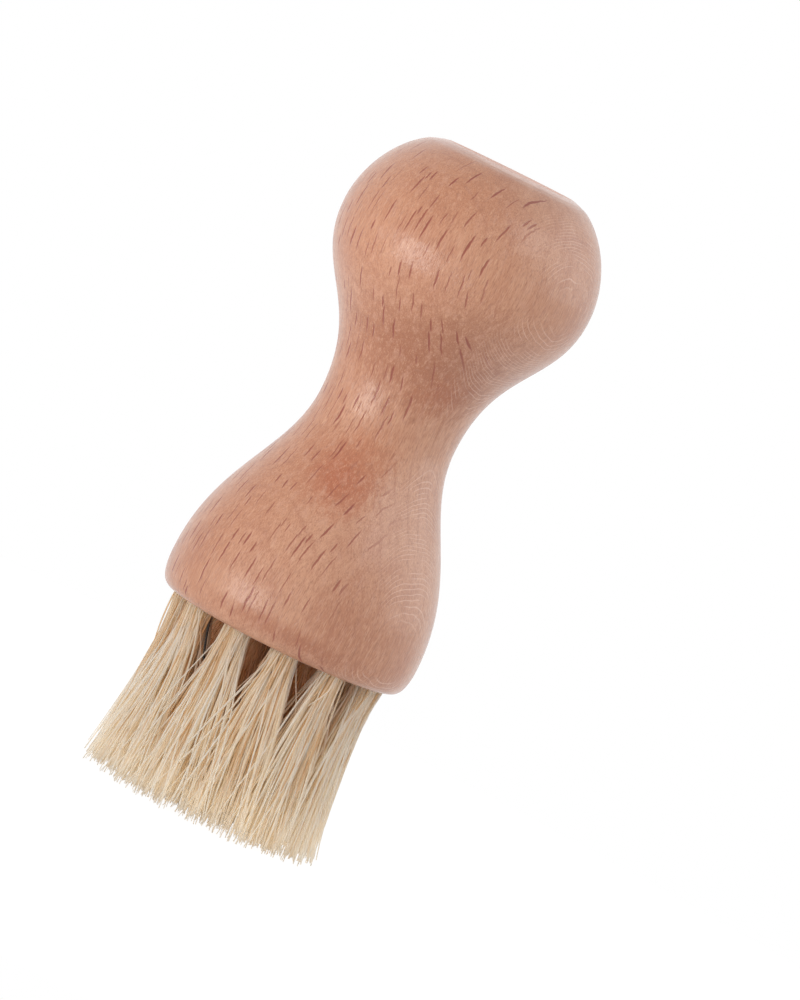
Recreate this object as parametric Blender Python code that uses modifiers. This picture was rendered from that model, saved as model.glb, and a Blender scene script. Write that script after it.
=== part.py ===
"""A small round hand brush for cleaning sneakers.

A turned beech handle carries nineteen tufts of natural bristle in blind holes in the face of its head.
Each tuft is folded double in its hole over a flat wire anchor, whose ends bite into the wood.
The brush stands on its trimmed bristle tips with the knob on top. Metres, +Z up, the front towards -Y.
"""

import math
import random

import bmesh
import bpy
from mathutils import Matrix, Vector
from mathutils.geometry import delaunay_2d_cdt, interpolate_bezier

# Heights: the bristles below the head's face, the rest above it
BRISTLE_LENGTH = 0.0296
HEAD_HEIGHT = 0.0051
WAIST_HEIGHT = 0.0377
KNOB_HEIGHT = 0.06505
HANDLE_HEIGHT = 0.0804

# Radii of the turned handle, from the head's flat face up to the knob's flat end
FACE_RADIUS = 0.0189
HEAD_RADIUS = 0.02105
WAIST_RADIUS = 0.0114
KNOB_RADIUS = 0.02105
END_RADIUS = 0.0116

# How far each end of a stretch of the profile runs on before it turns: the fuller the curve, the longer
RIM_PULL_OUT = 0.00145
RIM_PULL_UP = 0.0032
HEAD_PULL = 0.0154
WAIST_PULL_DOWN = 0.0111
WAIST_PULL_UP = 0.01475
KNOB_PULL_DOWN = 0.01135
KNOB_PULL_UP = 0.00645
CROWN_PULL = 0.0059
CROWN_SLOPE = math.radians(21.5)

# Tufts: one in the centre, then rings of six, twelve and so on, evenly spaced out to the outer ring
RINGS = 2
PER_RING = 6
EDGE_DISTANCE = 0.00515
HOLE_DIAMETER = 0.0048
HOLE_DEPTH = 0.0090
DRILL_POINT = math.radians(118)

# Flat wire anchor across the fold of each tuft
ANCHOR_THICKNESS = 0.0005
ANCHOR_WIDTH = 0.0018
ANCHOR_BITE = 0.0004
FOLD_THICKNESS = 0.0012
FOLD_ROUND = 0.0008

# Bristle strands, each standing for about a dozen bristles, all trimmed flat at the tips
STRAND_PITCH = 0.00078
STRAND_RADIUS = 0.00036
ROOT_MARGIN = 0.0001
TIP_TAPER = 0.8
FLARE_START = 0.45
FLARE_SHARE = 0.4
STRAY = 0.00022

# Clearance between pieces that seat in each other
FIT = 0.0003

# Facets
HANDLE_SIDES = 48
TUFT_SIDES = 12
STRAND_SIDES = 3
CURVE_STEPS = 9
RIM_STEPS = 5
WELD = 0.000001
SMOOTH_ANGLE = math.radians(22)
INSIDE_OUTLINES = 1

# Levels and places worked out from the sizes above
FACE_Z = BRISTLE_LENGTH
TOP_Z = FACE_Z + HANDLE_HEIGHT
HOLE_RADIUS = HOLE_DIAMETER / 2
TUFT_RADIUS = HOLE_RADIUS - FIT
TUFT_TOP_Z = FACE_Z + HOLE_DEPTH - FIT
ANCHOR_Z = TUFT_TOP_Z - FOLD_THICKNESS - FIT - ANCHOR_WIDTH / 2
RING_PITCH = (HEAD_RADIUS - EDGE_DISTANCE) / RINGS


def empty_scene():
    for obj in list(bpy.data.objects):
        bpy.data.objects.remove(obj, do_unlink=True)


def new_collection(name, parent):
    collection = bpy.data.collections.new(name)
    parent.children.link(collection)
    return collection


def new_material(name, colour, roughness, metallic=0.0):
    material = bpy.data.materials.new(name)
    material.use_nodes = True
    shader = material.node_tree.nodes["Principled BSDF"]
    shader.inputs["Base Color"].default_value = (*colour, 1.0)
    shader.inputs["Roughness"].default_value = roughness
    shader.inputs["Metallic"].default_value = metallic
    material.diffuse_color = (*colour, 1.0)
    return material


def new_object(name, data, collection):
    obj = bpy.data.objects.new(name, data)
    collection.objects.link(obj)
    return obj


def make_guide(obj):
    """Keeps a cutter or another helper out of the rendered model."""
    obj.hide_render = True
    obj.display_type = "WIRE"
    return obj


def evaluated_mesh(obj):
    """The object's mesh with its modifiers applied, or the mesh that a curve makes, with its caps welded."""
    bpy.context.view_layer.update()
    graph = bpy.context.evaluated_depsgraph_get()
    mesh = bpy.data.meshes.new_from_object(obj.evaluated_get(graph), depsgraph=graph)
    bm = bmesh.new()
    bm.from_mesh(mesh)
    bmesh.ops.remove_doubles(bm, verts=bm.verts, dist=WELD)
    bm.to_mesh(mesh)
    bm.free()
    return mesh


def finish_piece(obj, material):
    """Applies the modifiers, shades the piece smooth but for its arrises, and gives it its material."""
    mesh = evaluated_mesh(obj)
    obj.modifiers.clear()
    obj.data = mesh
    mesh.materials.clear()
    mesh.materials.append(material)
    mesh.shade_smooth()
    mesh.set_sharp_from_angle(angle=SMOOTH_ANGLE)
    return obj


def turned(name, profile, sides, collection):
    """A turned solid. Its profile runs top to bottom as (radius, height), from the axis back to the axis."""
    mesh = bpy.data.meshes.new(name)
    edges = [(i, i + 1) for i in range(len(profile) - 1)]
    mesh.from_pydata([(radius, 0, height) for radius, height in profile], edges, [])
    obj = new_object(name, mesh, collection)
    screw = obj.modifiers.new("turn", "SCREW")
    screw.steps = sides
    screw.render_steps = sides
    screw.use_merge_vertices = True
    screw.merge_threshold = WELD
    return obj


def box(name, size, centre, collection):
    bm = bmesh.new()
    bmesh.ops.create_cube(bm, size=1, matrix=Matrix.Diagonal((*size, 1)))
    mesh = bpy.data.meshes.new(name)
    bm.to_mesh(mesh)
    bm.free()
    obj = new_object(name, mesh, collection)
    obj.location = centre
    return obj


def stretch(start, out, end, back, steps):
    """Points of a smooth curve from start to end as (radius, height), leaving along out and arriving along back."""
    knots = [Vector((*point, 0)) for point in (start, out, end, back)]
    points = interpolate_bezier(knots[0], knots[0] + knots[1], knots[2] - knots[3], knots[2], steps)
    return [(point.x, point.y) for point in points]


def handle_profile():
    """Half the outline of the handle: flat end, knob, waist, flared head, rounded rim and flat face."""
    end = (END_RADIUS, TOP_Z)
    knob = (KNOB_RADIUS, FACE_Z + KNOB_HEIGHT)
    waist = (WAIST_RADIUS, FACE_Z + WAIST_HEIGHT)
    head = (HEAD_RADIUS, FACE_Z + HEAD_HEIGHT)
    face = (FACE_RADIUS, FACE_Z)
    crown = (CROWN_PULL * math.cos(CROWN_SLOPE), -CROWN_PULL * math.sin(CROWN_SLOPE))
    outline = [(0, TOP_Z)]
    outline += stretch(end, crown, knob, (0, -KNOB_PULL_UP), CURVE_STEPS)[:-1]
    outline += stretch(knob, (0, -KNOB_PULL_DOWN), waist, (0, -WAIST_PULL_UP), CURVE_STEPS)[:-1]
    outline += stretch(waist, (0, -WAIST_PULL_DOWN), head, (0, -HEAD_PULL), CURVE_STEPS)[:-1]
    outline += stretch(head, (0, -RIM_PULL_UP), face, (-RIM_PULL_OUT, 0), RIM_STEPS)
    outline.append((0, FACE_Z))
    return outline


def tuft_places():
    """The centres of the tufts: the middle one, then each ring from its +X side."""
    places = [(0.0, 0.0)]
    for ring in range(1, RINGS + 1):
        count = PER_RING * ring
        for step in range(count):
            angle = 2 * math.pi * step / count
            places.append((ring * RING_PITCH * math.cos(angle), ring * RING_PITCH * math.sin(angle)))
    return places


def hole_cutter(number, place, collection):
    """A blind hole as a drill leaves it, with its coned end, open at the head's face."""
    point_height = HOLE_RADIUS / math.tan(DRILL_POINT / 2)
    profile = [
        (0, FACE_Z + HOLE_DEPTH + point_height),
        (HOLE_RADIUS, FACE_Z + HOLE_DEPTH),
        (HOLE_RADIUS, FACE_Z - HOLE_DEPTH),
        (0, FACE_Z - HOLE_DEPTH),
    ]
    cutter = turned(f"hole_cutter_{number:02d}", profile, TUFT_SIDES, collection)
    cutter.location = (*place, 0)
    return make_guide(cutter)


def anchor_size(margin):
    return (
        HOLE_DIAMETER + 2 * ANCHOR_BITE + 2 * margin,
        ANCHOR_THICKNESS + 2 * margin,
        ANCHOR_WIDTH + 2 * margin,
    )


def make_anchor(number, place, collection, material):
    anchor = box(f"anchor_{number:02d}", anchor_size(0), (*place, ANCHOR_Z), collection)
    return finish_piece(anchor, material)


def anchor_seat(number, place, collection):
    """The room that an anchor takes in the wood and through its tuft."""
    return make_guide(box(f"anchor_seat_{number:02d}", anchor_size(FIT), (*place, ANCHOR_Z), collection))


def make_handle(cutters, collection, material):
    """The turned handle with its tuft holes and the bites of the anchors beside them."""
    handle = turned("handle", handle_profile(), HANDLE_SIDES, collection)
    cut = handle.modifiers.new("tuft holes", "BOOLEAN")
    cut.operation = "DIFFERENCE"
    cut.solver = "EXACT"
    cut.operand_type = "COLLECTION"
    cut.collection = cutters
    return finish_piece(handle, material)


def root_lattice(turn):
    """Where the strands leave the packed root: a triangular lattice about its axis, turned by an angle."""
    reach = TUFT_RADIUS - ROOT_MARGIN - STRAND_RADIUS
    most = math.ceil(reach / STRAND_PITCH) + 1
    places = []
    for row in range(-most, most + 1):
        for step in range(-most, most + 1):
            place = Vector((step + row / 2, row * math.sqrt(3) / 2)) * STRAND_PITCH
            if place.length <= reach:
                place.rotate(Matrix.Rotation(turn, 2))
                places.append(place)
    return places


def strand_path(root, chance):
    """Centres of a strand's sections below its root. It fans out with its neighbours and crosses none."""
    fan = (RING_PITCH / 2 - FIT / 2 - STRAND_RADIUS - STRAY) / (TUFT_RADIUS - ROOT_MARGIN - STRAND_RADIUS)
    stray = Vector((chance.uniform(0, STRAY), 0))
    stray.rotate(Matrix.Rotation(chance.uniform(0, 2 * math.pi), 2))
    tip = root * fan + stray
    bend = root.lerp(tip, FLARE_SHARE)
    return [
        (Vector((*bend, FACE_Z * (1 - FLARE_START))), (1 + TIP_TAPER) / 2),
        (Vector((*tip, 0)), TIP_TAPER),
    ]


def ring_of_points(radius, sides, centre=(0, 0), turn=0.0):
    """The corners of a regular outline, anticlockwise."""
    angles = [turn + 2 * math.pi * step / sides for step in range(sides)]
    return [Vector((centre[0] + radius * math.cos(a), centre[1] + radius * math.sin(a))) for a in angles]


def root_face(bm, roots, turn):
    """The end face of the packed root, with one small face in it for each strand. Returns those faces in order."""
    corners = ring_of_points(TUFT_RADIUS, TUFT_SIDES)
    outlines = [list(range(TUFT_SIDES))]
    for root in roots:
        outlines.append(list(range(len(corners), len(corners) + STRAND_SIDES)))
        corners += ring_of_points(STRAND_RADIUS, STRAND_SIDES, root, turn)
    points, _, faces, _, _, sources = delaunay_2d_cdt(corners, [], outlines, INSIDE_OUTLINES, WELD)
    verts = [bm.verts.new((point.x, point.y, FACE_Z)) for point in points]
    ends = {}
    for face, source in zip(faces, sources):
        made = bm.faces.new([verts[corner] for corner in face])
        for strand in source[1:]:
            ends[strand] = made
    return [ends[strand] for strand in sorted(ends)]


def draw_strand(bm, face, root, path):
    """Draws one small face of the root out into a strand, section by section."""
    centre = Vector((*root, FACE_Z))
    width = 1.0
    for place, taper in path:
        face = bmesh.ops.extrude_discrete_faces(bm, faces=[face])["faces"][0]
        for vert in face.verts:
            vert.co = place + (vert.co - centre) * (taper / width)
        centre = place
        width = taper


def close_root(bm, rim):
    """Carries the rim of the end face up the hole and closes it over the fold."""
    for radius, height in ((TUFT_RADIUS, TUFT_TOP_Z - FOLD_ROUND), (TUFT_RADIUS - FOLD_ROUND, TUFT_TOP_Z)):
        made = bmesh.ops.extrude_edge_only(bm, edges=rim)["geom"]
        rim = [item for item in made if isinstance(item, bmesh.types.BMEdge)]
        for vert in {vert for edge in rim for vert in edge.verts}:
            side = vert.co.xy.normalized() * radius
            vert.co = (*side, height)
    bmesh.ops.edgeloop_fill(bm, edges=rim)


def make_tuft(number, place, seat, collection, material):
    """One tuft: the packed root that fills its hole, open across for the anchor, and its free strands."""
    chance = random.Random(number)
    turn = chance.uniform(0, 2 * math.pi)
    roots = root_lattice(turn)
    bm = bmesh.new()
    ends = root_face(bm, roots, turn)
    rim = [edge for edge in bm.edges if edge.is_boundary]
    for end, root in zip(ends, roots):
        draw_strand(bm, end, root, strand_path(root, chance))
    close_root(bm, rim)
    bmesh.ops.recalc_face_normals(bm, faces=bm.faces)
    mesh = bpy.data.meshes.new(f"tuft_{number:02d}")
    bm.to_mesh(mesh)
    bm.free()
    tuft = new_object(f"tuft_{number:02d}", mesh, collection)
    tuft.location = (*place, 0)
    opening = tuft.modifiers.new("anchor opening", "BOOLEAN")
    opening.operation = "DIFFERENCE"
    opening.solver = "EXACT"
    opening.object = seat
    return finish_piece(tuft, material)


def build():
    empty_scene()
    scene_collection = bpy.context.scene.collection
    parts = new_collection("sneaker_cleaning_brush", scene_collection)
    cutters = new_collection("cutters", scene_collection)
    wood_cutters = new_collection("wood_cutters", cutters)
    cutters.hide_render = True

    beech = new_material("beech", (0.55, 0.30, 0.19), 0.42)
    bristle = new_material("bristle", (0.62, 0.50, 0.34), 0.55)
    steel = new_material("anchor_steel", (0.55, 0.55, 0.53), 0.35, metallic=1.0)

    for number, place in enumerate(tuft_places(), start=1):
        hole_cutter(number, place, wood_cutters)
        seat = anchor_seat(number, place, wood_cutters)
        make_anchor(number, place, parts, steel)
        make_tuft(number, place, seat, parts, bristle)
    make_handle(wood_cutters, parts, beech)


build()
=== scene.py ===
import math
import random

import bpy
import numpy as np
from mathutils import Matrix, Vector
from mathutils.geometry import interpolate_bezier


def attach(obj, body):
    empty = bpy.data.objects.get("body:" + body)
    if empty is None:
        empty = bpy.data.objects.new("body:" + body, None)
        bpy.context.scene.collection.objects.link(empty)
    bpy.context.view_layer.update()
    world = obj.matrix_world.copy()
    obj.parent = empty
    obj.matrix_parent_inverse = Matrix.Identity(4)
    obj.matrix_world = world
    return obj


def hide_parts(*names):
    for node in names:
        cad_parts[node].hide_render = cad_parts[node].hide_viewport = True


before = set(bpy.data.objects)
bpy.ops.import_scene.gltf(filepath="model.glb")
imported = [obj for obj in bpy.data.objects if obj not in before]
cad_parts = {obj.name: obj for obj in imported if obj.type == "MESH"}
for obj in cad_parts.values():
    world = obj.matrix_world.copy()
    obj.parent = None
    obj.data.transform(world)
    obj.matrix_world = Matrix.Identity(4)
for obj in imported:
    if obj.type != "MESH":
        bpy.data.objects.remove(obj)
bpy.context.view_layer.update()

# The brush, in metres: heights above the bristle tips and radii, as in the solids
FACE_Z = 0.0296
HEAD_Z = FACE_Z + 0.0051
WAIST_Z = FACE_Z + 0.0377
KNOB_Z = FACE_Z + 0.06505
TOP_Z = FACE_Z + 0.0804
FACE_RADIUS = 0.0189
HEAD_RADIUS = 0.02105
WAIST_RADIUS = 0.0114
KNOB_RADIUS = 0.02105
END_RADIUS = 0.0116

# How far each end of a stretch of the outline runs on before it turns, as in the solids
CROWN_SLOPE = math.radians(21.5)
CROWN_PULL = 0.0059
KNOB_PULL_UP = 0.00645
KNOB_PULL_DOWN = 0.01135
WAIST_PULL_UP = 0.01475
WAIST_PULL_DOWN = 0.0111
HEAD_PULL = 0.0154
RIM_PULL_UP = 0.0032
RIM_PULL_OUT = 0.00145

# The arris round the flat end is sanded over for this far
CORNER = 0.0011

# Facets of the handle, and the small rings that keep its flat ends even
HANDLE_SIDES = 144
HOLE_SIDES = 40
CURVE_STEPS = 34
CROWN_STEPS = 28
RIM_STEPS = 14
CORNER_STEPS = 8
END_RINGS = (0.004, 0.008)
FACE_INSET = 0.0003
FLAT_WITHIN = 0.00001
SHARP_ANGLE = math.radians(24)

# Tufts and their holes, one in the centre and then rings of six and twelve
RINGS = 2
PER_RING = 6
RING_PITCH = 0.00795
HOLE_RADIUS = 0.0024
HOLE_DEPTH = 0.0090
DRILL_POINT = math.radians(118)
MOUTH_BREAK = 0.0002
DRILL_OVERRUN = 0.001
FIT = 0.0003
FOLD_THICKNESS = 0.0012
ANCHOR_TOP = FACE_Z + HOLE_DEPTH - FIT - FOLD_THICKNESS - FIT

# Bristles: how many loops a tuft holds, and how thick they are
LOOPS = 110
FIRST_SEED = 4100
SEED_STEP = 17
HAIR_SIDES = 5
HAIR_RADIUS = 0.000124
FINE = (0.72, 1.22)
COARSE = (1.3, 1.55)
COARSE_SHARE = 0.05
TIP_WIDTH = 0.52
TAPER_RINGS = 4

# The rings of a bristle, as shares of its way from the wood to the tip
STEPS = (1.0, 0.9, 0.77, 0.64, 0.52, 0.41, 0.31, 0.21, 0.11, 0.0)

# Where they leave the wood, and how they spread from there
ROOT_RADIUS = 0.00212
ROOT_JITTER = 0.00005
MATE_JITTER = 0.00012
CENTRE_GAP = 0.0001
FAN = 2.4
RIM_FAN_OUT = 0.62
RIM_FAN_IN = 1.0
RIM_FAN_ALONG = 2.6
SCATTER = 0.0008
STIFF_ROOT = 0.06

# Locks: neighbouring bristles of a tuft that bend, sway and cling together
LOCKS = 24
LOCK_BEND = 0.0012
LOCK_SWAY = 0.0005
LOCK_CLING = (0.3, 0.95)
LOCK_CUT = (0, 0.0008)
CLING = 0.6

# Shares of a bristle's tone that are its own and its lock's
OWN_TONE = 0.55
LOCK_TONE = 0.45

# The folds in the holes: how far loops lie over and beside the anchor, and where they turn
HOLE_FILL = 0.00200
FOLD_LIFT = 0.00012
FOLD_PILE = 0.00098
FOLD_SIDE = 0.00038
FOLD_FLARE = 0.0015
FOLD_DROP = 0.0004
FOLD_TURNS = (35, 90, 145)
# a ring this far above the face, and one this far below the anchor's top, a little closer in
IN_MOUTH = 0.0012
UNDER_ANCHOR = 0.002
UNDER_ANCHOR_FILL = 0.9

# The tufts' common outline: how far the tips reach, and how far it draws in at the wood
TIP_REACH = 0.0190
EDGE_DRAW = 0.0018
EDGE_STRAY = 0.0004
LOOSE_STRAY = 0.0007
# where share * (1 - share) is less, near the wood and the tip, no bristle is bent in
FREE_BULGE = 0.15

# Trimming: the tips' height, the bristles that end above it, and the few short ones
TRIM_HEIGHT = 0.00055
TRIM_SPREAD = 0.00022
LOWEST_TIP = 0.00005
LONG_SHARE = 0.12
LONG_TIPS = (0.00004, 0.0003)
BROKEN_SHARE = 0.14
BROKEN_BY = (0.0005, 0.0040)
SHORT_SHARE = 0.02
SHORT_LENGTHS = (0.003, 0.012)
SHORT_LEAN = (0.0006, 0.0022)
SHORT_SWAY = 0.4

# How a bristle bows and ripples, the powers of its curve, and those that end part way
BOW = 0.00035
POWERS = (1.0, 1.6)
RIPPLE = 0.00009
CUT_SHARE = 0.18
CUT_TO = (0.5, 0.95)

# Unruly bristles lie across the others, and are paler and more often coarse
WILD_SHARE = 0.28
WILD_COARSE_SHARE = 0.40
WILD_PUSH = (0.0018, 0.0096)
WILD_OUT = 0.0012
WILD_BOW = 0.0009
WILD_POWERS = (0.85, 1.1)
WILD_TONE = 0.45

# The one dark bristle, broken off short: it leans aside, and more so toward its end
DARK_TUFT = 15
DARK_ROOT = (0.00159, -0.00107)
DARK_LENGTH = 0.0125
DARK_LEAN = 0.16
DARK_CURVE = 17.5
DARK_ASIDE = (0.99, -0.10)
DARK_FORWARD = 0.09

# Tufts nearer the axis than this have others all round them
INNER_RADIUS = 0.012
# how much of the inner tufts' painted shade at the root the rim tufts have on their inner side
RIM_INNER = 0.4

# Rays in the wood: the direction of the ribbons' normal, from the front toward +X,
# the room for each across and along the grain, and their half widths and lengths
RAY_POLE = math.radians(48.4)
RAY_GAP = 0.0015
RAY_STEP = 0.0052
RAY_THIN = 0.00009
RAY_WIDE = 0.00012
RAY_SHORT = 0.0011
RAY_LONG = 0.0021
# the room for each where they are laid open
OPEN_RAY_GAP = 0.00029

# Growth rings: how wide they are, and the way from their pith to the axis
GROWTH_RING = 0.0023
PITH = (0.085, 0.004, 0.0)

# The height of the wood's relief, and the share of it that shows in the lacquer
RELIEF = 0.00007
COAT_RELIEF = 0.75

# Colours of the wood, as screen values from 0 to 255
PALE_WOOD = (192, 139, 108)
DEEP_WOOD = (179, 119, 84)
LATE_WOOD = (158, 97, 68)
MOTTLED = (168, 106, 74)
PORE = (140, 84, 61)
DARK_RAY = (132, 54, 32)
OPEN_RAY = (226, 190, 170)
END_PALE = (222, 180, 164)
END_DEEP = (204, 158, 140)
END_RING = (150, 96, 74)
# a painted highlight along the arris round the flat end
ARRIS_HIGHLIGHT = (238, 208, 196)

# Darker, warmer places: stains in this piece of wood, and painted shade under the knob and along
# the head's lower rim: where, how large, the colour and its share
STAINS_AND_PAINTED_SHADE = (
    # a stain at the lower neck, in two parts
    ((-0.0040, -0.0124, 0.0570), (0.0060, 0.0070, 0.0064), (166, 84, 42), 0.90),
    ((-0.0015, -0.0122, 0.0622), (0.0050, 0.0060, 0.0045), (174, 102, 62), 0.50),
    # painted shade along the head's lower rim, where it turns under
    ((-0.0010, -0.0205, 0.0326), (0.0150, 0.0100, 0.0017), (158, 90, 54), 0.70),
    # a brown stain low on the knob
    ((0.0060, -0.0190, 0.0860), (0.0095, 0.0100, 0.0050), (158, 101, 68), 0.45),
    # painted shade under the knob, where it overhangs the neck, in two parts
    ((0.0005, -0.0130, 0.0785), (0.0170, 0.0140, 0.0092), (150, 86, 50), 0.84),
    ((0.0045, -0.0125, 0.0745), (0.0048, 0.0070, 0.0046), (158, 84, 44), 0.65),
)

# Bristle colours, light, middle, deep, and the painted shade at the root, as screen values
PALE_HAIR = ((255, 252, 244), (254, 241, 219), (226, 186, 136), (228, 160, 104))
DARK_HAIR = ((70, 62, 58), (48, 42, 40), (30, 26, 24), (40, 30, 28))

# The tint of light that goes through bristles, and how much less of it goes on between them
HAIR_CLEAR = (1.0, 0.93, 0.82, 1)
BETWEEN_HAIRS = 0.85

# Camera: its distance in metres, what it looks at, and where that falls in the picture
DISTANCE = 0.957
PIXELS_PER_RADIAN = 6211
PICTURE = (800, 1000)
AIM = Vector((0, 0, 0.0534))
AIM_PIXEL = (348.573, 500.247)
AZIMUTH = math.radians(-6)
ELEVATION = math.radians(4.5)
ROLL = math.radians(26.2)
SENSOR = 36

# Stage: what the lamps aim at, the floor, and the bright tent round it all
LAMP_AIM = Vector((0, 0, 0.07))
FLOOR_RADIUS = 0.2
FLOOR_SIDES = 96
FLOOR_SHADE = (0.88, 0.88, 0.88, 1)
FLOOR_SEEN_SHADE = (0.12, 0.12, 0.12, 1)
FLOOR_GLOW = 0.95
TENT_TINT = (1, 0.985, 0.98, 1)
TENT_LEVEL = 0.62
TENT_RISE = 0.04
WHITE = (1, 1, 1, 1)


# Small helpers

def link(obj):
    bpy.context.scene.collection.objects.link(obj)
    return obj


def mesh_object(name, points, faces, smooth=True):
    mesh = bpy.data.meshes.new(name)
    mesh.from_pydata([tuple(p) for p in points], [], faces)
    mesh.update()
    for polygon in mesh.polygons:
        polygon.use_smooth = smooth
    return link(bpy.data.objects.new(name, mesh))


def circle(radius, sides):
    """The corners of a regular outline about the axis."""
    turns = [2 * math.pi * k / sides for k in range(sides)]
    return [(radius * math.cos(turn), radius * math.sin(turn)) for turn in turns]


def stretch(start, out, end, back, steps):
    """A smooth curve of (radius, height) points, leaving along out and arriving along back."""
    first = Vector((start[0], 0, start[1]))
    last = Vector((end[0], 0, end[1]))
    leave = first + Vector((out[0], 0, out[1]))
    arrive = last - Vector((back[0], 0, back[1]))
    return [(p.x, p.z) for p in interpolate_bezier(first, leave, arrive, last, steps)]


# Handle: one turned outline from the flat end to the face

def handle_outline():
    crown = (CROWN_PULL * math.cos(CROWN_SLOPE), -CROWN_PULL * math.sin(CROWN_SLOPE))
    knob = (KNOB_RADIUS, KNOB_Z)
    waist = (WAIST_RADIUS, WAIST_Z)
    head = (HEAD_RADIUS, HEAD_Z)
    face = (FACE_RADIUS, FACE_Z)
    shoulder = stretch((END_RADIUS, TOP_Z), crown, knob, (0, -KNOB_PULL_UP), CROWN_STEPS)
    # the shoulder starts just past the sanded arris, which has its own steps
    shoulder = [p for p in shoulder if p[0] > END_RADIUS + CORNER * 1.1]
    half = CORNER / 2
    rim = (END_RADIUS - CORNER, TOP_Z)
    downhill = (half, -half * math.tan(CROWN_SLOPE))
    outline = [(radius, TOP_Z) for radius in END_RINGS]
    outline += stretch(rim, (half, 0), shoulder[0], downhill, CORNER_STEPS)[:-1]
    outline += shoulder[:-1]
    outline += stretch(knob, (0, -KNOB_PULL_DOWN), waist, (0, -WAIST_PULL_UP), CURVE_STEPS)[:-1]
    outline += stretch(waist, (0, -WAIST_PULL_DOWN), head, (0, -HEAD_PULL), CURVE_STEPS)[:-1]
    outline += stretch(head, (0, -RIM_PULL_UP), face, (-RIM_PULL_OUT, 0), RIM_STEPS)
    outline.append((FACE_RADIUS - FACE_INSET, FACE_Z))
    return outline


def turned(name, outline, top, bottom, sides):
    points = [(0, 0, top)]
    for radius, z in outline:
        points += [(x, y, z) for x, y in circle(radius, sides)]
    points.append((0, 0, bottom))
    faces = [(0, 1 + k, 1 + (k + 1) % sides) for k in range(sides)]
    for ring in range(len(outline) - 1):
        above = 1 + ring * sides
        below = above + sides
        for k in range(sides):
            n = (k + 1) % sides
            faces.append((above + k, below + k, below + n, above + n))
    last = 1 + (len(outline) - 1) * sides
    end = len(points) - 1
    for k in range(sides):
        faces.append((end, last + (k + 1) % sides, last + k))
    return mesh_object(name, points, faces)


def tuft_places():
    places = [(0.0, 0.0)]
    for ring in range(1, RINGS + 1):
        places += circle(ring * RING_PITCH, PER_RING * ring)
    return places


def drill():
    """One cutter for all the holes, each with a coned end and a slightly broken mouth."""
    sides = HOLE_SIDES
    depth = FACE_Z + HOLE_DEPTH
    tip = depth + HOLE_RADIUS / math.tan(DRILL_POINT / 2)
    rings = [
        (HOLE_RADIUS + (DRILL_OVERRUN + MOUTH_BREAK), FACE_Z - DRILL_OVERRUN),
        (HOLE_RADIUS, FACE_Z + MOUTH_BREAK),
        (HOLE_RADIUS, depth),
    ]
    points, faces = [], []
    for x, y in tuft_places():
        start = len(points)
        for radius, z in rings:
            points += [(x + across, y + along, z) for across, along in circle(radius, sides)]
        points.append((x, y, tip))
        for ring in range(len(rings) - 1):
            low = start + ring * sides
            high = low + sides
            for k in range(sides):
                n = (k + 1) % sides
                faces.append((low + k, low + n, high + n, high + k))
        high = start + (len(rings) - 1) * sides
        for k in range(sides):
            faces.append((high + k, high + (k + 1) % sides, start + len(rings) * sides))
        faces.append(tuple(start + k for k in reversed(range(sides))))
    return mesh_object("drill", points, faces, smooth=False)


def make_handle():
    handle = turned("beech_handle", handle_outline(), TOP_Z, FACE_Z, HANDLE_SIDES)
    cutter = drill()
    cut = handle.modifiers.new("holes", "BOOLEAN")
    cut.operation = "DIFFERENCE"
    cut.solver = "EXACT"
    cut.object = cutter
    bpy.context.view_layer.update()
    seen = handle.evaluated_get(bpy.context.evaluated_depsgraph_get())
    handle.modifiers.remove(cut)
    handle.data = bpy.data.meshes.new_from_object(seen)
    bpy.data.objects.remove(cutter)
    for polygon in handle.data.polygons:
        polygon.use_smooth = True
    handle.data.set_sharp_from_angle(angle=SHARP_ANGLE)
    return handle


# Bristles: each tuft is a bundle of loops, folded over its anchor and trimmed

def scattered(rng, amount):
    return Vector((rng.gauss(0, amount), rng.gauss(0, amount)))


def push(rng, sizes):
    """A push in any direction, its size between two bounds."""
    turn = rng.uniform(0, 2 * math.pi)
    return Vector((math.cos(turn), math.sin(turn))) * rng.uniform(*sizes)


def held_in(flat, limit):
    return flat * (limit / flat.length) if flat.length > limit else flat


def spread(rng, count, radius):
    """Even spots in a half disc, y above zero."""
    spots = []
    golden = math.pi * (3 - math.sqrt(5))
    # the whole disc has room for a little over twice as many
    room = 2.02 * count
    k = 0
    while len(spots) < count:
        share = math.sqrt((k + 0.5) / room)
        angle = k * golden
        x = radius * share * math.cos(angle) + rng.gauss(0, ROOT_JITTER)
        y = radius * share * math.sin(angle) + rng.gauss(0, ROOT_JITTER)
        if y > CENTRE_GAP:
            spots.append((x, y))
        k += 1
    return spots


class Lock:
    """A few neighbouring bristles that cling together."""

    def __init__(self, rng, x, y):
        self.spot = Vector((x, y))
        self.bend = scattered(rng, LOCK_BEND)
        self.sway = scattered(rng, LOCK_SWAY)
        self.cling = rng.uniform(*LOCK_CLING)
        self.tone = rng.random()
        self.cut = rng.uniform(*LOCK_CUT)


def nearest(locks, spot):
    return min(locks, key=lambda lock: (lock.spot - spot).length)


def fanned_tip(rng, centre, out, root, lock):
    """How far a tip lies from its tuft's centre, before it is held in."""
    tip = root * FAN
    if centre.length > INNER_RADIUS:
        # the outer ring can't fan far outward, and leans in between its neighbours
        along = Vector((-out.y, out.x))
        radial = root.dot(out)
        reach = RIM_FAN_OUT if radial > 0 else RIM_FAN_IN
        tip = out * radial * (1 + reach) + along * root.dot(along) * RIM_FAN_ALONG
    tip += (lock.spot * FAN - tip) * lock.cling * CLING + lock.bend
    tip += scattered(rng, SCATTER)
    return tip


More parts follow.
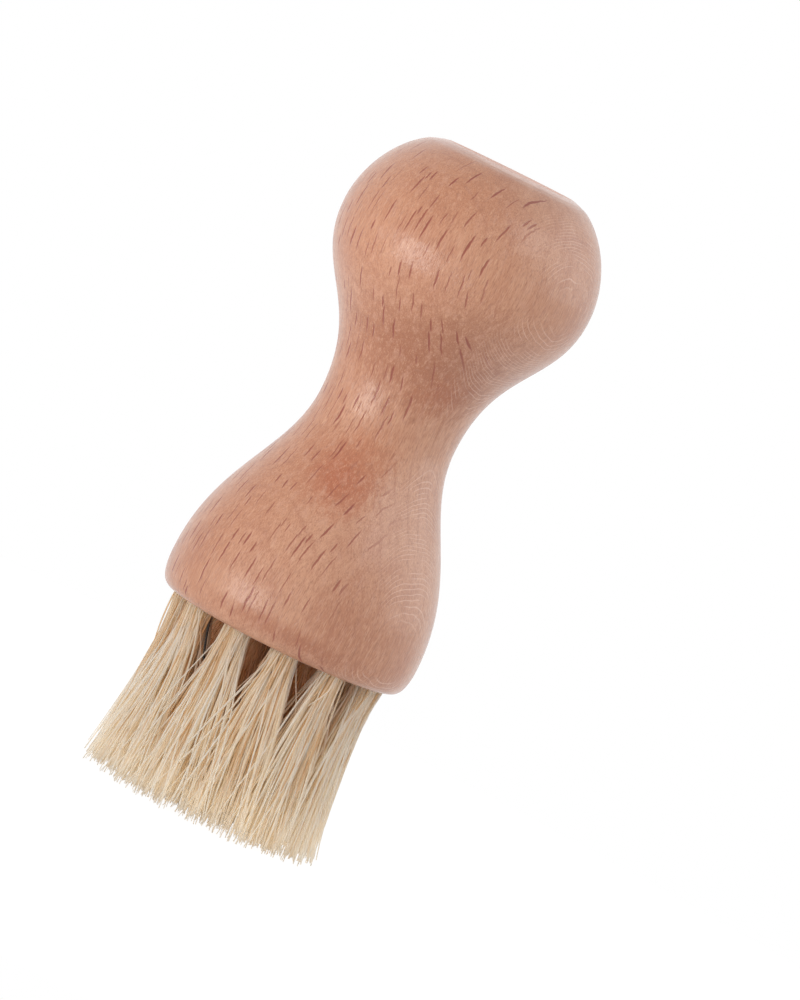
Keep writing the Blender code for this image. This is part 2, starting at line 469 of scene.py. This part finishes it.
def trimmed_height(rng, lock):
    tip_z = lock.cut + max(LOWEST_TIP, rng.gauss(TRIM_HEIGHT, TRIM_SPREAD))
    if rng.random() < LONG_SHARE:
        tip_z = rng.uniform(*LONG_TIPS)
    if rng.random() < BROKEN_SHARE:
        tip_z += rng.uniform(*BROKEN_BY)
    return tip_z


def hair_path(rng, place, spot, locks, wild, short):
    """The points of one bristle from its tip to the face."""
    centre = Vector(place)
    out = centre.normalized()
    root = Vector(spot)
    lock = nearest(locks, root)
    tip = fanned_tip(rng, centre, out, root, lock)
    start = rng.uniform(0.0, STIFF_ROOT)
    if wild:
        tip += push(rng, WILD_PUSH) + out * WILD_OUT
    kept = rng.uniform(*CUT_TO) if rng.random() < CUT_SHARE else 1.0
    stray = rng.gauss(0, EDGE_STRAY)
    if wild or kept < 1:
        stray += rng.uniform(0.0, LOOSE_STRAY)
    limit = min(TIP_REACH + stray, HEAD_RADIUS)
    end = held_in(centre + tip, limit)
    sway = lock.sway + scattered(rng, WILD_BOW if wild else BOW)
    ripple = scattered(rng, RIPPLE)
    tip_z = trimmed_height(rng, lock)
    if short:
        sway *= SHORT_SWAY
        tip_z = FACE_Z - rng.uniform(*SHORT_LENGTHS)
        end = held_in(centre + root + push(rng, SHORT_LEAN), TIP_REACH - EDGE_DRAW)
    power = rng.uniform(*(WILD_POWERS if wild else POWERS))

    spots = []
    over = 0.0
    for step in STEPS:
        share = step * kept
        moved = max(0.0, (share - start) / (1 - start)) ** power
        flat = centre + root + (end - centre - root) * moved
        flat += sway * math.sin(math.pi * share) + ripple * math.sin(3 * math.pi * share)
        spots.append((share, flat))
        # the tufts' outline draws in toward the wood
        edge = TIP_REACH - EDGE_DRAW + (limit - TIP_REACH + EDGE_DRAW) * share * share
        bulge = share * (1 - share)
        if bulge > FREE_BULGE and not short:
            over = max(over, (flat.length - edge) / bulge)
    points = []
    for share, flat in spots:
        # what bulges over the outline is bent in, evenly along the bristle
        flat -= flat.normalized() * over * share * (1 - share)
        points.append(Vector((flat.x, flat.y, FACE_Z + (tip_z - FACE_Z) * share)))
    return points


def dark_path(place):
    """The one dark broken bristle, from its end to the face."""
    points = []
    for step in range(len(STEPS)):
        down = DARK_LENGTH * (1 - step / (len(STEPS) - 1))
        aside = DARK_LEAN * down + DARK_CURVE * down * down
        x = place[0] + DARK_ROOT[0] + aside * DARK_ASIDE[0]
        y = place[1] + DARK_ROOT[1] + aside * DARK_ASIDE[1] - down * DARK_FORWARD
        points.append(Vector((x, y, FACE_Z - down)))
    return points


def fold_path(place, spot):
    """The part of a loop in its hole: up one side, over the anchor and down the other side."""
    x, y = spot
    squeeze = HOLE_FILL / ROOT_RADIUS
    fold = min(abs(y) / ROOT_RADIUS, 1.0)
    top = ANCHOR_TOP + FOLD_LIFT + fold * FOLD_PILE
    side = FOLD_SIDE + fold * FOLD_FLARE
    middle = Vector((place[0] + x * squeeze, place[1], 0))
    up = []
    for share, z in ((1.0, FACE_Z + IN_MOUTH), (UNDER_ANCHOR_FILL, ANCHOR_TOP - UNDER_ANCHOR)):
        up.append(middle + Vector((0, max(y * squeeze * share, side), z)))
    over = []
    for turn in FOLD_TURNS:
        angle = math.radians(turn)
        rise = (top - ANCHOR_TOP + FOLD_DROP) * math.sin(angle)
        over.append(middle + Vector((0, side * math.cos(angle), ANCHOR_TOP - FOLD_DROP + rise)))
    down = [Vector((p.x, 2 * place[1] - p.y, p.z)) for p in reversed(up)]
    return up + over + down


def loop_path(rng, place, spot, locks, wild, dark):
    """One folded bristle: up from a tip, over its anchor and down to the other tip."""
    x, y = spot
    mate = (x + rng.gauss(0, MATE_JITTER), -y + rng.gauss(0, MATE_JITTER))
    down_a = hair_path(rng, place, spot, locks, wild, rng.random() < SHORT_SHARE)
    if dark:
        down_b = dark_path(place)
    else:
        down_b = hair_path(rng, place, mate, locks, wild, rng.random() < SHORT_SHARE)
    return down_a + fold_path(place, spot) + list(reversed(down_b))


def tube(path, radii, sides):
    spots = np.array([tuple(p) for p in path])
    ahead = np.gradient(spots, axis=0)
    ahead /= np.linalg.norm(ahead, axis=1)[:, None]
    across = np.cross(ahead, np.array((1.0, 0, 0)))
    across /= np.linalg.norm(across, axis=1)[:, None]
    other = np.cross(ahead, across)
    rings = []
    for k in range(sides):
        angle = 2 * math.pi * k / sides
        side = across * math.cos(angle) + other * math.sin(angle)
        rings.append(spots + side * np.array(radii)[:, None])
    return np.stack(rings, axis=1).reshape(-1, 3)


def tube_faces(start, rings, sides):
    faces = []
    for ring in range(rings - 1):
        low = start + ring * sides
        for k in range(sides):
            n = (k + 1) % sides
            faces.append((low + k, low + n, low + sides + n, low + sides + k))
    faces.append(tuple(start + k for k in reversed(range(sides))))
    end = start + (rings - 1) * sides
    faces.append(tuple(end + k for k in range(sides)))
    return faces


def make_locks(rng):
    locks = []
    for _ in range(LOCKS):
        angle = rng.uniform(0, 2 * math.pi)
        radius = ROOT_RADIUS * math.sqrt(rng.random())
        locks.append(Lock(rng, radius * math.cos(angle), radius * math.sin(angle)))
    return locks


def hair_radii(rng, count, wild, dark):
    """A bristle's radius at each of its points, thinner toward both tips."""
    coarse = dark or rng.random() < (WILD_COARSE_SHARE if wild else COARSE_SHARE)
    width = HAIR_RADIUS * rng.uniform(*(COARSE if coarse else FINE))
    from_end = [min(k, count - 1 - k) for k in range(count)]
    return [width * (TIP_WIDTH + (1 - TIP_WIDTH) * min(k / TAPER_RINGS, 1.0)) for k in from_end]


def make_tuft(number, place, pale_hair, dark_hair):
    rng = random.Random(FIRST_SEED + SEED_STEP * number)
    centre = Vector(place)
    locks = make_locks(rng)
    spots = spread(rng, LOOPS, ROOT_RADIUS)
    if number == DARK_TUFT:
        spots.append((DARK_ROOT[0], -DARK_ROOT[1]))
    points, faces, tones, reaches, inners = [], [], [], [], []
    count = 0
    for index, spot in enumerate(spots):
        dark = index == LOOPS
        wild = rng.random() < WILD_SHARE
        path = loop_path(rng, place, spot, locks, wild, dark)
        made_points = tube(path, hair_radii(rng, len(path), wild, dark), HAIR_SIDES)
        made_faces = tube_faces(count, len(path), HAIR_SIDES)
        points.append(made_points)
        faces += made_faces
        count += len(made_points)
        tone = OWN_TONE * rng.random() + LOCK_TONE * nearest(locks, Vector(spot)).tone
        if wild:
            tone *= WILD_TONE
        tones += [tone] * len(made_points)
        for point in path:
            reach = min(max((FACE_Z - point.z) / FACE_Z, 0.0), 1.0)
            # inner tufts, and the inner sides of rim tufts, take painted shade toward the wood
            inward = (point.xy - centre).dot(centre) < 0
            inner = 1.0 if centre.length < INNER_RADIUS else RIM_INNER * inward
            reaches += [reach] * HAIR_SIDES
            inners += [inner] * HAIR_SIDES
    tuft = mesh_object(f"bristles_{number:02d}", np.concatenate(points), faces)
    tuft.data.materials.append(pale_hair)
    if number == DARK_TUFT:
        # the last bristle made is the dark one, and its first half is pale
        tuft.data.materials.append(dark_hair)
        for polygon in tuft.data.polygons[1 - len(made_faces) // 2:]:
            polygon.material_index = 1
    for name, values in (("tone", tones), ("reach", reaches), ("inner", inners)):
        layer = tuft.data.attributes.new(name, "FLOAT", "POINT")
        layer.data.foreach_set("value", values)
    return tuft


# Materials

class Graph:
    """A node tree, emptied and then made one node at a time."""

    def __init__(self, owner):
        owner.use_nodes = True
        self.tree = owner.node_tree
        self.tree.nodes.clear()

    def node(self, kind, **settings):
        made = self.tree.nodes.new(kind)
        for key, value in settings.items():
            setattr(made, key, value)
        return made

    def feed(self, target, value):
        if isinstance(value, bpy.types.NodeSocket):
            self.tree.links.new(value, target)
        else:
            target.default_value = value

    def fed(self, kind, inputs, **settings):
        """A node with its inputs fed, each by its name or its number."""
        made = self.node(kind, **settings)
        for key, value in inputs.items():
            self.feed(made.inputs[key], value)
        return made

    def math(self, kind, a, b=None, c=None):
        inputs = {k: value for k, value in enumerate((a, b, c)) if value is not None}
        return self.fed("ShaderNodeMath", inputs, operation=kind).outputs[0]

    def times(self, first, *others):
        for other in others:
            first = self.math("MULTIPLY", first, other)
        return first

    def vector(self, kind, a, b=None):
        inputs = {k: value for k, value in enumerate((a, b)) if value is not None}
        made = self.fed("ShaderNodeVectorMath", inputs, operation=kind)
        return made.outputs["Value" if kind in ("DOT_PRODUCT", "LENGTH") else "Vector"]

    def split(self, vector):
        return self.fed("ShaderNodeSeparateXYZ", {0: vector}).outputs

    def noise(self, vector, scale, detail=2.0, rough=0.5, colour=False):
        inputs = {"Vector": vector, "Scale": scale, "Detail": detail, "Roughness": rough}
        made = self.fed("ShaderNodeTexNoise", inputs, noise_dimensions="3D")
        return made.outputs["Color" if colour else "Fac"]

    def grains(self, vector, size, detail, rough):
        """Noise whose grains have a size in metres on each axis."""
        return self.noise(self.vector("DIVIDE", vector, size), 1.0, detail, rough)

    def smooth(self, value, low, high, to_low=0.0, to_high=1.0):
        inputs = {
            "Value": value,
            "From Min": low,
            "From Max": high,
            "To Min": to_low,
            "To Max": to_high,
        }
        made = self.fed("ShaderNodeMapRange", inputs, interpolation_type="SMOOTHSTEP")
        return made.outputs["Result"]

    def mix(self, factor, a, b):
        return self.fed("ShaderNodeMix", {0: factor, 6: a, 7: b}, data_type="RGBA").outputs[2]

    def mix_shader(self, factor, a, b):
        return self.fed("ShaderNodeMixShader", {0: factor, 1: a, 2: b}).outputs[0]

    def bump(self, height, strength):
        inputs = {"Height": height, "Strength": strength, "Distance": RELIEF}
        return self.fed("ShaderNodeBump", inputs).outputs["Normal"]

    def finish(self, surface, kind="ShaderNodeOutputMaterial"):
        self.fed(kind, {"Surface": surface})


def linear(r, g, b):
    """A colour written as screen values from 0 to 255."""
    return tuple(((c / 255 + 0.055) / 1.055) ** 2.4 for c in (r, g, b)) + (1.0,)


def growth_rings(g, wood, stretched):
    """Wide faint rings about a pith far outside the handle."""
    from_pith = g.vector("MULTIPLY", g.vector("ADD", wood, PITH), (1.0, 1.0, 0.0))
    radius = g.vector("LENGTH", from_pith)
    wavy = g.math("ADD", radius, g.math("MULTIPLY", g.noise(stretched, 60, 2.0), 0.0022))
    phase = g.math("FRACT", g.math("DIVIDE", wavy, GROWTH_RING))
    late = g.smooth(phase, 0.72, 0.92)
    edge = g.smooth(phase, 0.92, 1.0)
    patches = g.noise(g.vector("MULTIPLY", wood, (1.0, 1.0, 0.6)), 130, 1.0, 0.5)
    seen = g.smooth(patches, 0.42, 0.62, 0.15, 1.0)
    return g.math("MULTIPLY", g.math("SUBTRACT", late, edge), seen)


def cut_rays(g, wood, ray_facing, end_facing):
    """The rays' cut edges: short crooked dark dashes along the grain."""
    crook = g.vector("SUBTRACT", g.noise(wood, 620, 2.0, 0.5, colour=True), (0.5, 0.5, 0.5))
    crooked = g.vector("ADD", wood, g.vector("MULTIPLY", crook, (0.0, 0.00042, 0.0)))
    across = g.split(crooked)
    column = g.math("DIVIDE", across["Y"], RAY_GAP)
    row = g.math("DIVIDE", across["Z"], RAY_STEP)
    cells = g.fed("ShaderNodeCombineXYZ", {"X": column, "Y": row}).outputs[0]
    inputs = {"Vector": cells, "Scale": 1.0, "Randomness": 0.85}
    voronoi = g.fed("ShaderNodeTexVoronoi", inputs, feature="F1", voronoi_dimensions="2D")
    lot = g.fed("ShaderNodeSeparateColor", {0: voronoi.outputs["Color"]}).outputs
    there = g.smooth(lot["Red"], 0.13, 0.16)
    wide = g.math("MULTIPLY_ADD", lot["Blue"], RAY_WIDE / RAY_GAP, RAY_THIN / RAY_GAP)
    tall = g.math("MULTIPLY_ADD", lot["Green"], RAY_LONG / RAY_STEP, RAY_SHORT / RAY_STEP)
    tall = g.math("MULTIPLY", tall, g.math("MULTIPLY_ADD", end_facing, -0.5, 1.0))
    size = g.fed("ShaderNodeCombineXYZ", {"X": wide, "Y": tall, "Z": 1.0}).outputs[0]
    aside = g.vector("SUBTRACT", cells, voronoi.outputs["Position"])
    inside = g.math("SUBTRACT", 1.0, g.vector("LENGTH", g.vector("DIVIDE", aside, size)))
    depth = g.math("ADD", 0.68, g.math("MULTIPLY", lot["Blue"], 0.32))
    across_grain = g.smooth(ray_facing, 0.66, 0.88, 1.0, 0.0)
    off_end = g.smooth(end_facing, 0.75, 0.95, 1.0, 0.35)
    return g.times(g.smooth(inside, 0.0, 0.45), there, depth, across_grain, off_end)


def open_rays(g, wood, side_facing, ray_facing, end_facing):
    """Rays laid open where the surface runs along them: fine pale lines."""
    bends = g.grains(wood, (0.007, 0.0016, 0.006), 2.0, 0.5)
    layer = g.math("ADD", g.math("DIVIDE", g.split(wood)["Y"], OPEN_RAY_GAP), bends)
    off = g.math("ABSOLUTE", g.math("SUBTRACT", g.math("FRACT", layer), 0.5))
    patches = g.grains(wood, (0.0045, 0.0012, 0.0036), 1.0, 0.5)
    line = g.times(g.smooth(off, 0.13, 0.03), g.smooth(patches, 0.34, 0.54))
    along = g.times(g.smooth(ray_facing, 0.55, 0.78), g.smooth(end_facing, 0.10, 0.30))
    return g.times(line, g.times(along, g.smooth(side_facing, 0.50, 0.25)))


def arris_highlight(g, place, flecks):
    """A painted highlight along the arris round the flat end, more to the right than to the left.
    """
    axis = g.split(place)
    from_axis = g.vector("LENGTH", g.vector("MULTIPLY", place, (1.0, 1.0, 0.0)))
    return g.times(
        g.smooth(from_axis, END_RADIUS - 0.0009, END_RADIUS - 0.0005),
        g.smooth(from_axis, END_RADIUS + 0.0008, END_RADIUS + 0.0002),
        g.smooth(axis["Z"], TOP_Z - 0.001, TOP_Z - 0.0008),
        g.smooth(axis["X"], -0.0075, -0.0035, 0.2, 1.0),
        g.smooth(flecks, 0.70, 0.40, 0.2, 0.5),
    )


def beech(name, coat, shine, relief):
    """Beech wood: its share of clear lacquer, its own shine and how strong its relief is."""
    material = bpy.data.materials.new(name)
    g = Graph(material)
    source = g.node("ShaderNodeTexCoord")
    place = source.outputs["Object"]
    turn = (0, 0, math.pi / 2 + math.radians(90) - RAY_POLE)
    wood = g.fed("ShaderNodeMapping", {"Vector": place, "Rotation": turn}).outputs["Vector"]
    inputs = {"Vector": source.outputs["Normal"], "Rotation": turn}
    facing = g.split(g.fed("ShaderNodeMapping", inputs, vector_type="VECTOR").outputs["Vector"])
    side_facing = g.math("ABSOLUTE", facing["X"])
    ray_facing = g.math("ABSOLUTE", facing["Y"])
    end_facing = g.math("ABSOLUTE", facing["Z"])

    # the grain wanders a little on its way up the handle
    stretched = g.vector("MULTIPLY", wood, (1.0, 1.0, 0.28))
    wander = g.vector("SUBTRACT", g.noise(stretched, 210, 1.0, 0.4, colour=True), (0.5, 0.5, 0.5))
    wood = g.vector("ADD", wood, g.vector("MULTIPLY", wander, (0.0012, 0.00075, 0.0012)))

    ring = growth_rings(g, wood, stretched)
    dark_ray = cut_rays(g, wood, ray_facing, end_facing)
    light_ray = open_rays(g, wood, side_facing, ray_facing, end_facing)

    # fine structure: pores, fibres, clouds, and specks along the grain
    pores = g.vector("DIVIDE", wood, (0.00016, 0.00016, 0.0011))
    inputs = {"Vector": pores, "Scale": 1.0}
    cells = g.fed("ShaderNodeTexVoronoi", inputs, feature="F1", voronoi_dimensions="3D")
    pore = g.smooth(cells.outputs["Distance"], 0.42, 0.12)
    fibre = g.grains(wood, (0.00035, 0.00035, 0.0042), 3.0, 0.6)
    speckle = g.grains(wood, (0.00015, 0.00015, 0.0011), 3.0, 0.65)
    mottle = g.noise(g.vector("MULTIPLY", wood, (1.0, 1.0, 0.6)), 150, 3.0, 0.55)
    cloud = g.noise(g.vector("MULTIPLY", wood, (1.0, 1.0, 0.5)), 46, 1.5, 0.5)
    flecks = g.noise(g.vector("MULTIPLY", wood, (1.0, 1.0, 0.40)), 980, 3.0, 0.65)

    colour = g.mix(g.smooth(cloud, 0.30, 0.70), linear(*PALE_WOOD), linear(*DEEP_WOOD))
    colour = g.mix(g.math("MULTIPLY", ring, 0.40), colour, linear(*LATE_WOOD))
    colour = g.mix(g.smooth(mottle, 0.40, 0.72, 0.0, 0.60), colour, linear(*MOTTLED))
    # stains, and painted shade under the knob and along the head's lower rim
    for spot, size, warm, share in STAINS_AND_PAINTED_SHADE:
        away = g.vector("DIVIDE", g.vector("SUBTRACT", place, spot), size)
        torn = g.math("ADD", g.math("MULTIPLY", mottle, 1.4), g.math("MULTIPLY", flecks, 1.2))
        ragged = g.math("ADD", g.vector("LENGTH", away), g.math("SUBTRACT", torn, 0.80))
        colour = g.mix(g.smooth(ragged, 1.75, 0.65, 0.0, share), colour, linear(*warm))
    for mask, low, high, share, tint in (
        (fibre, 0.50, 0.78, 0.62, (150, 97, 70)),
        (fibre, 0.48, 0.24, 0.50, (206, 160, 127)),
        (speckle, 0.50, 0.74, 0.66, (142, 87, 62)),
        (speckle, 0.49, 0.26, 0.38, (212, 168, 138)),
        (flecks, 0.48, 0.72, 0.24, (204, 157, 134)),
        (flecks, 0.50, 0.28, 0.34, (166, 106, 76)),
    ):
        colour = g.mix(g.smooth(mask, low, high, 0.0, share), colour, linear(*tint))
    colour = g.mix(g.math("MULTIPLY", pore, 0.30), colour, linear(*PORE))
    colour = g.mix(g.math("MULTIPLY", dark_ray, 0.92), colour, linear(*DARK_RAY))
    colour = g.mix(g.math("MULTIPLY", light_ray, 0.38), colour, linear(*OPEN_RAY))

    # the end grain is pinker and closer
    close = g.mix(g.smooth(cloud, 0.30, 0.70), linear(*END_PALE), linear(*END_DEEP))
    colour = g.mix(g.smooth(end_facing, 0.95, 0.99, 0.0, 0.70), colour, close)
    end_ring = g.math("MULTIPLY", ring, g.smooth(end_facing, 0.95, 0.99, 0.0, 0.35))
    colour = g.mix(end_ring, colour, linear(*END_RING))
    # a painted highlight along the arris round the flat end
    colour = g.mix(arris_highlight(g, place, flecks), colour, linear(*ARRIS_HIGHLIGHT))

    rough = g.math("ADD", 0.38, g.math("MULTIPLY", speckle, 0.26))
    rough = g.math("ADD", rough, g.math("MULTIPLY", dark_ray, 0.12))
    height = g.math("SUBTRACT", g.math("MULTIPLY", fibre, 0.8), g.math("MULTIPLY", pore, 0.4))
    height = g.math("ADD", height, g.math("MULTIPLY", speckle, 0.3))
    height = g.math("SUBTRACT", height, g.math("MULTIPLY", dark_ray, 0.8))
    g.finish(g.fed("ShaderNodeBsdfPrincipled", {
        "Base Color": colour,
        "Roughness": rough,
        "IOR": 1.48,
        "Specular IOR Level": shine,
        "Normal": g.bump(height, relief),
        # clear lacquer that follows the grain
        "Coat Weight": coat,
        "Coat Roughness": 0.10,
        "Coat IOR": 1.5,
        "Coat Normal": g.bump(height, COAT_RELIEF),
        # sanded fibres on the surface make the outline paler and pinker
        "Sheen Weight": 0.24,
        "Sheen Roughness": 0.35,
        "Sheen Tint": (1.0, 0.80, 0.76, 1),
    }).outputs[0])
    return material


def bristle(name, colours, rough, through):
    """Bristle that lets a share of the light through to those behind it."""
    material = bpy.data.materials.new(name)
    g = Graph(material)
    light, middle, deep, root = (linear(*colour) for colour in colours)
    tone, reach, inner = (
        g.node("ShaderNodeAttribute", attribute_name=layer).outputs["Fac"]
        for layer in ("tone", "reach", "inner")
    )
    place = g.node("ShaderNodeTexCoord").outputs["Object"]
    streak = g.grains(place, (0.0003, 0.0003, 0.004), 2.0, 0.55)
    lot = g.math("ADD", g.math("MULTIPLY", tone, 0.78), g.math("MULTIPLY", streak, 0.30))
    colour = g.mix(g.smooth(lot, 0.24, 0.54), light, middle)
    colour = g.mix(g.smooth(lot, 0.52, 0.86), colour, deep)
    # painted shade, deeper toward the wood, and painted light, paler toward the tip
    colour = g.mix(g.smooth(reach, 0.60, 0.0, 0.0, 0.25), colour, deep)
    colour = g.mix(g.smooth(reach, 0.45, 1.0, 0.0, 0.80), colour, light)
    # painted shade: the inner ones are browner toward the wood, in the shade of the others
    painted_shade = g.math("MULTIPLY", inner, g.smooth(reach, 0.85, 0.2, 0.0, 0.7))
    colour = g.mix(painted_shade, colour, root)
    shader = g.fed("ShaderNodeBsdfPrincipled", {
        "Base Color": colour,
        "Roughness": g.math("ADD", rough, g.math("MULTIPLY", streak, 0.12)),
        "IOR": 1.5,
        "Specular IOR Level": 0.8,
    })
    glow = g.fed("ShaderNodeBsdfTranslucent", {"Color": colour})
    hair = g.mix_shader(0.5, shader.outputs[0], glow.outputs[0])

    clear = g.fed("ShaderNodeBsdfTransparent", {"Color": HAIR_CLEAR}).outputs[0]
    path = g.node("ShaderNodeLightPath")
    whole = hair
    between = through * BETWEEN_HAIRS
    for ray, share in (("Is Diffuse Ray", between), ("Is Shadow Ray", through)):
        passing = g.mix_shader(share, hair, clear)
        whole = g.mix_shader(path.outputs[ray], whole, passing)
    g.finish(whole)
    return material


def anchor_steel():
    material = bpy.data.materials.new("anchor_steel")
    g = Graph(material)
    place = g.node("ShaderNodeTexCoord").outputs["Object"]
    drawn = g.grains(place, (0.004, 0.0002, 0.0002), 3.0, 0.6)
    g.finish(g.fed("ShaderNodeBsdfPrincipled", {
        "Base Color": g.mix(drawn, linear(150, 150, 152), linear(196, 196, 198)),
        "Metallic": 1.0,
        "Roughness": g.smooth(drawn, 0.2, 0.8, 0.25, 0.42),
    }).outputs[0])
    return material


# Stage: camera, lamps, world and floor

def view_axes():
    back = Vector((
        math.sin(AZIMUTH) * math.cos(ELEVATION),
        -math.cos(AZIMUTH) * math.cos(ELEVATION),
        math.sin(ELEVATION),
    ))
    up = (Vector((0, 0, 1)) - back * back.z).normalized()
    right = up.cross(back)
    image_up = up * math.cos(ROLL) - right * math.sin(ROLL)
    image_right = right * math.cos(ROLL) + up * math.sin(ROLL)
    return image_right, image_up, back


def make_camera():
    right, up, back = view_axes()
    width, height = PICTURE
    spot = AIM + back * DISTANCE
    scale = DISTANCE / PIXELS_PER_RADIAN
    across = right * (width / 2 - AIM_PIXEL[0]) * scale
    middle = AIM + across + up * (AIM_PIXEL[1] - height / 2) * scale
    away = (spot - middle).normalized()
    side = up.cross(away).normalized()
    rise = away.cross(side)
    data = bpy.data.cameras.new("camera")
    data.sensor_width = SENSOR
    data.lens = SENSOR * PIXELS_PER_RADIAN / height
    data.clip_start = 0.05
    data.clip_end = 50
    camera = link(bpy.data.objects.new("camera", data))
    camera.matrix_world = Matrix((
        (side.x, rise.x, away.x, spot.x),
        (side.y, rise.y, away.y, spot.y),
        (side.z, rise.z, away.z, spot.z),
        (0, 0, 0, 1),
    ))
    bpy.context.scene.camera = camera


def make_lamp(name, direction, distance, size, power, glossy=True):
    data = bpy.data.lights.new(name, "AREA")
    data.shape = "RECTANGLE"
    data.size, data.size_y = size
    data.energy = power
    lamp = link(bpy.data.objects.new(name, data))
    lamp.location = LAMP_AIM + direction.normalized() * distance
    lamp.rotation_mode = "QUATERNION"
    lamp.rotation_quaternion = direction.to_track_quat("Z", "Y")
    lamp.visible_camera = False
    lamp.visible_glossy = glossy


def make_lamps():
    """Soft boxes round the brush: direction, distance, size and power of each."""
    right, up, back = view_axes()
    level = Vector((back.x, back.y, 0)).normalized()
    side = Vector((-level.y, level.x, 0))
    low_left = level * 0.74 - side * 0.665 + Vector((0, 0, -0.23))
    near_left = level * 0.55 - side * 0.83 + Vector((0, 0, 0.02))
    upper_right = right * 0.74 + up * 0.32 + back * 0.45
    far_right = right * 0.95 + up * 0.05 + back * -0.10
    behind = back * -1 + up * 0.25
    make_lamp("left_box", low_left, 0.90, (0.54, 0.40), 2.65)
    make_lamp("left_fill", near_left, 0.45, (0.40, 0.15), 0.80, glossy=False)
    make_lamp("right_box", upper_right, 0.60, (0.26, 0.26), 0.42)
    make_lamp("right_fill", far_right, 0.90, (0.80, 0.80), 2.1)
    make_lamp("rear_box", behind, 0.80, (0.70, 0.70), 1.8, glossy=False)


def seen_directly(g):
    """One for what the camera sees, straight or mirrored or through something clear, else zero."""
    path = g.node("ShaderNodeLightPath").outputs
    mirrored = g.math("MAXIMUM", path["Is Camera Ray"], path["Is Glossy Ray"])
    return g.math("MAXIMUM", mirrored, path["Is Transmission Ray"])


def make_world():
    world = bpy.data.worlds.new("tent")
    g = Graph(world)
    # a touch more light comes from above the picture than from below it
    toward = g.node("ShaderNodeTexCoord").outputs["Generated"]
    rise = g.vector("DOT_PRODUCT", toward, view_axes()[1])
    level = g.math("MULTIPLY_ADD", rise, TENT_RISE, TENT_LEVEL)
    light = g.fed("ShaderNodeBackground", {"Color": TENT_TINT, "Strength": level}).outputs[0]
    white = g.fed("ShaderNodeBackground", {"Color": WHITE, "Strength": 1.0}).outputs[0]
    g.finish(g.mix_shader(seen_directly(g), light, white), "ShaderNodeOutputWorld")
    bpy.context.scene.world = world


def make_floor():
    rim = [(x, y, 0) for x, y in circle(FLOOR_RADIUS, FLOOR_SIDES)]
    floor = mesh_object("floor", rim, [tuple(range(FLOOR_SIDES))], smooth=False)
    material = bpy.data.materials.new("pale_floor")
    g = Graph(material)
    seen = seen_directly(g)
    matt = g.fed("ShaderNodeBsdfDiffuse", {"Color": g.mix(seen, FLOOR_SHADE, FLOOR_SEEN_SHADE)})
    glow = g.fed("ShaderNodeEmission", {"Color": WHITE, "Strength": g.times(seen, FLOOR_GLOW)})
    both = g.fed("ShaderNodeAddShader", {0: matt.outputs[0], 1: glow.outputs[0]})
    g.finish(both.outputs[0])
    floor.data.materials.append(material)


def build():
    bpy.context.scene.view_settings.view_transform = "Standard"

    # the flat end is left without lacquer
    handle = make_handle()
    handle.data.materials.append(beech("beech", coat=0.72, shine=0.56, relief=0.6))
    handle.data.materials.append(beech("beech_end", coat=0.0, shine=0.20, relief=0.1))
    for polygon in handle.data.polygons:
        polygon.material_index = int(polygon.center.z > TOP_Z - FLAT_WITHIN)
    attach(handle, "root")
    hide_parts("handle")

    pale = bristle("bristle", PALE_HAIR, rough=0.33, through=0.955)
    dark = bristle("dark_bristle", DARK_HAIR, rough=0.25, through=0.0)
    for number, place in enumerate(tuft_places(), 1):
        tuft = make_tuft(number, place, pale, dark)
        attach(tuft, "root")
        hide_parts(f"tuft_{number:02d}")

    steel = anchor_steel()
    for name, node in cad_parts.items():
        if name.startswith("anchor_"):
            node.data.materials.clear()
            node.data.materials.append(steel)

    make_world()
    make_floor()
    make_lamps()
    make_camera()


build()
